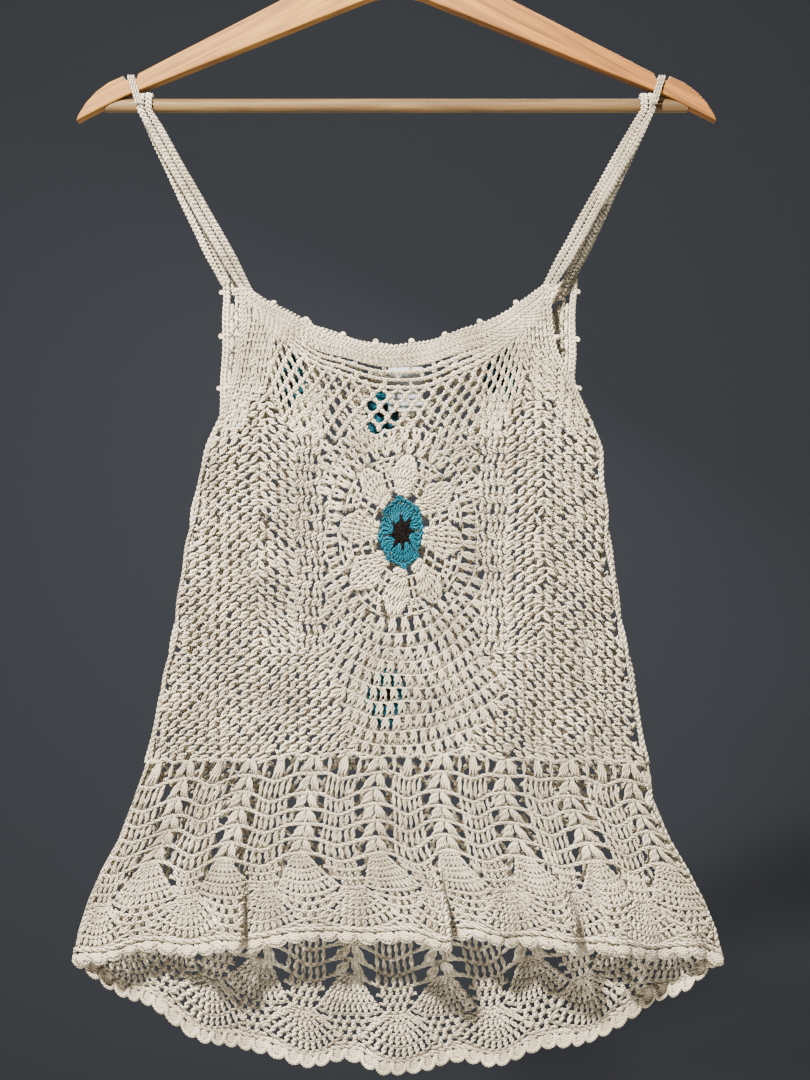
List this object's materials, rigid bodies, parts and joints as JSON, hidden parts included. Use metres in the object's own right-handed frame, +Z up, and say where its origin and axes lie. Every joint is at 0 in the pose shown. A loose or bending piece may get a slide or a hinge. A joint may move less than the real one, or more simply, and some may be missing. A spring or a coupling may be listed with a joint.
{
  "type": "crochet camisole top on a wooden hanger",
  "caption": "Sleeveless crochet top with a net body, small flower motifs, a flared lace peplum with a bobble hem and thin straps over the bar of a wooden hanger.",
  "frame": {"origin": "inner top of the hook, where it rests on a rail", "axes": "+Z up, the front of the top faces -Y, +X to the right seen from the front"},
  "size_m": [0.4556, 0.0666, 0.8488],
  "materials": {
    "cream_yarn": "matte cotton yarn",
    "teal_yarn": "matte cotton yarn",
    "dark_yarn": "matte cotton yarn",
    "label_satin": "satin",
    "hanger_wood": "satin varnish",
    "hook_wire": "polished"
  },
  "bodies": {
    "root": {"back_armhole_band_left": "cream_yarn", "back_armhole_band_right": "cream_yarn", "back_hem_edging": "cream_yarn", "back_motif_1_ring": "teal_yarn", "back_motif_1_star": "dark_yarn", "back_motif_2_ring": "teal_yarn", "back_motif_2_star": "dark_yarn", "back_motif_3_ring": "teal_yarn", "back_motif_3_star": "dark_yarn", "back_motif_4_ring": "teal_yarn", "back_motif_4_star": "dark_yarn", "back_neck_band": "cream_yarn", "back_panel": "cream_yarn", "back_peplum": "cream_yarn", "front_armhole_band_left": "cream_yarn", "front_armhole_band_right": "cream_yarn", "front_hem_edging": "cream_yarn", "front_motif_1_ring": "teal_yarn", "front_motif_1_star": "dark_yarn", "front_neck_band": "cream_yarn", "front_panel": "cream_yarn", "front_peplum": "cream_yarn", "hang_loop_left": "cream_yarn", "hang_loop_right": "cream_yarn", "hanger_bar": "hanger_wood", "hanger_beam": "hanger_wood", "hanger_hook": "hook_wire", "neck_label": "label_satin", "strap_left": "cream_yarn", "strap_right": "cream_yarn"}
  },
  "joints": []
}
